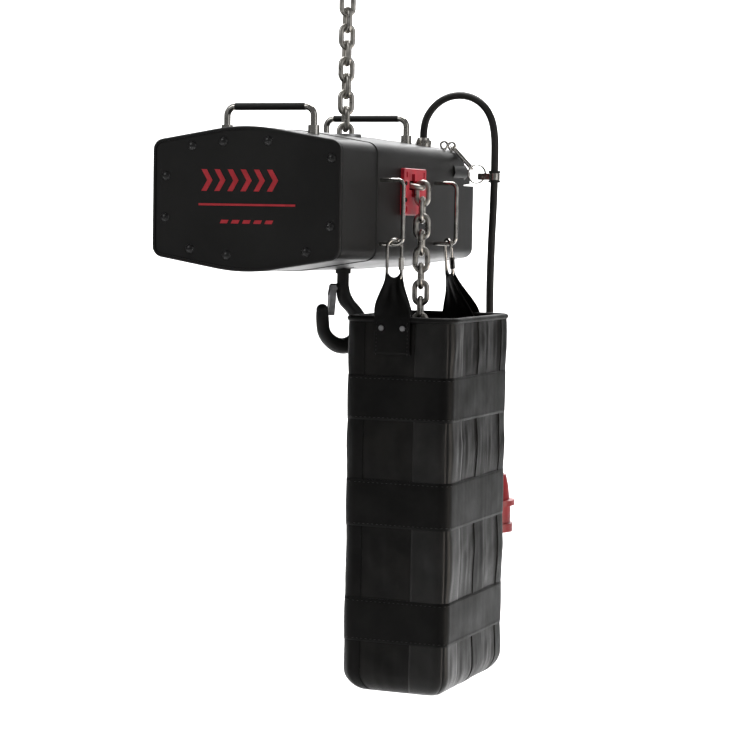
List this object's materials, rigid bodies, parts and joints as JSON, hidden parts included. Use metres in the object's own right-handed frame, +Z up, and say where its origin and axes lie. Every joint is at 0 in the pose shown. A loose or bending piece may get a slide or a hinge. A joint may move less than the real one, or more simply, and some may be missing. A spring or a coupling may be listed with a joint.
{
  "type": "electric chain hoist",
  "caption": "Black climbing electric chain hoist with swivel hooks, lifting chain, hanging slack-chain bag, carrying handles and a short power cable ending in a plug.",
  "frame": {"origin": "the saddle of the upper hook, where the hoist hangs from", "axes": "+Z up along the load chain; the body runs along Y with its electrical cover at -Y; the slack chain and bag are on the +X side"},
  "size_m": [0.4065, 0.5426, 1.1719],
  "materials": {
    "body_paint": "satin black powder coat",
    "forged_black": "black forged steel",
    "chain_steel": "zinc-plated steel",
    "chrome": "bright chrome",
    "machined_steel": "machined steel",
    "cast_iron": "cast, rough",
    "black_screw": "black oxide",
    "rubber": "matte rubber",
    "black_plastic": "moulded",
    "red_plate": "red enamel",
    "bag_nylon": "coated nylon",
    "plug_red": "moulded",
    "plug_insert": "moulded",
    "board_green": "circuit board"
  },
  "bodies": {
    "hoist_body": {"bearings": "machined_steel", "bracket_nuts": "machined_steel", "brake_coil": "cast_iron", "cable_clamp": "chrome", "cable_gland": "chrome", "carabiner": "chrome", "clamp_rubber": "rubber", "contactors": "black_plastic", "control_board": "board_green", "cover_gasket": "rubber", "cover_screws": "black_screw", "electrics_plate": "machined_steel", "eyebolts": "chrome", "front_bag_bracket": "chrome", "front_cover": "body_paint", "front_housing": "body_paint", "handle_bars": "chrome", "handle_collars": "chrome", "handle_grips": "rubber", "hook_yoke": "machined_steel", "inlet_guide": "machined_steel", "mid_housing": "body_paint", "motor_stator": "cast_iron", "outlet_guide": "red_plate", "outlet_screws": "black_screw", "plug_pins": "plug_insert", "power_cable": "rubber", "power_plug": "plug_red", "rear_bag_bracket": "chrome", "rear_housing": "body_paint", "split_ring": "chrome", "tail_chain": "chain_steel", "tie_bolts": "machined_steel", "wheel_chain": "chain_steel"},
    "motor_shaft": {"motor_rotor": "machined_steel", "brake_disc": "machined_steel"},
    "intermediate_shaft": {"intermediate_gear": "machined_steel"},
    "wheel_shaft": {"load_wheel": "machined_steel", "wheel_gear": "machined_steel"},
    "brake_plate": {"brake_armature": "machined_steel"},
    "lifting_strand": {"lifting_chain": "chain_steel", "top_hook_block": "forged_black", "chain_pin": "chain_steel"},
    "upper_hook": {"top_hook": "forged_black", "top_hook_nut": "machined_steel", "top_latch_pin": "machined_steel"},
    "upper_latch": {"top_hook_latch": "forged_black"},
    "lower_hook": {"load_hook": "forged_black", "load_hook_nut": "machined_steel", "load_latch_pin": "machined_steel"},
    "lower_latch": {"load_hook_latch": "forged_black"},
    "slack_bag": {"chain_bag": "bag_nylon", "bag_rivets": "machined_steel", "front_bag_strap": "bag_nylon", "rear_bag_strap": "bag_nylon", "front_quick_link": "chrome", "rear_quick_link": "chrome"},
    "front_sleeve": {"front_link_sleeve": "chrome"},
    "rear_sleeve": {"rear_link_sleeve": "chrome"},
    "snap_gate": {"carabiner_gate": "chrome"}
  },
  "joints": [
    {"name": "motor_spin", "type": "hinge", "parent": "hoist_body", "child": "motor_shaft", "pos_m": [-0.07, 0, -0.452], "axis": [0, 1, 0], "range_deg": [0, 4320]},
    {"name": "intermediate_turn", "type": "hinge", "parent": "hoist_body", "child": "intermediate_shaft", "pos_m": [-0.01661, 0, -0.43429], "axis": [0, 1, 0], "range_deg": [-864, 0]},
    {"name": "wheel_turn", "type": "hinge", "parent": "hoist_body", "child": "wheel_shaft", "pos_m": [0.03563, 0, -0.474], "axis": [0, 1, 0], "range_deg": [0, 144]},
    {"name": "chain_travel", "type": "slide", "parent": "hoist_body", "child": "lifting_strand", "axis": [0, 0, 1], "range_m": [0, 0.096], "deforming": ["wheel_chain"]},
    {"name": "brake_release", "type": "slide", "parent": "hoist_body", "child": "brake_plate", "axis": [0, -1, 0], "range_m": [0, 0.0008], "stiffness_N_per_m": 2000, "springref_m": -0.005},
    {"name": "upper_hook_swivel", "type": "hinge", "parent": "lifting_strand", "child": "upper_hook", "pos_m": [0, 0, -0.06], "axis": [0, 0, 1], "continuous": true},
    {"name": "upper_latch_hinge", "type": "hinge", "parent": "upper_hook", "child": "upper_latch", "pos_m": [0.01061, -0.01061, -0.0767], "axis": [-0.7071, -0.7071, 0], "range_deg": [0, 20], "stiffness_Nm_per_rad": 0.05, "springref_deg": -22.92},
    {"name": "lower_hook_swivel", "type": "hinge", "parent": "hoist_body", "child": "lower_hook", "pos_m": [0, 0, -0.6], "axis": [0, 0, 1], "continuous": true},
    {"name": "lower_latch_hinge", "type": "hinge", "parent": "lower_hook", "child": "lower_latch", "pos_m": [-0.01182, -0.00924, -0.579], "axis": [0.6157, -0.788, 0], "range_deg": [0, 20], "stiffness_Nm_per_rad": 0.05, "springref_deg": -22.92},
    {"name": "bag_swing", "type": "hinge", "parent": "hoist_body", "child": "slack_bag", "pos_m": [0.125, 0, -0.511], "axis": [0, 1, 0], "range_deg": [-10, 0]},
    {"name": "front_sleeve_slide", "type": "slide", "parent": "slack_bag", "child": "front_sleeve", "axis": [0, 0, 1], "range_m": [0, 0.01]},
    {"name": "rear_sleeve_slide", "type": "slide", "parent": "slack_bag", "child": "rear_sleeve", "axis": [0, -0.2079, 0.9781], "range_m": [0, 0.01]},
    {"name": "snap_gate_hinge", "type": "hinge", "parent": "hoist_body", "child": "snap_gate", "pos_m": [0.1117, 0.2075, -0.3853], "axis": [-0.7033, 0, -0.7108], "range_deg": [0, 15], "stiffness_Nm_per_rad": 0.01, "springref_deg": -22.92}
  ],
  "couplings": [
    {"joint": "intermediate_turn", "follows": "motor_spin", "ratio": -0.2},
    {"joint": "wheel_turn", "follows": "motor_spin", "ratio": 0.033333},
    {"joint": "chain_travel", "follows": "motor_spin", "m_per_rad": 0.0012732}
  ]
}
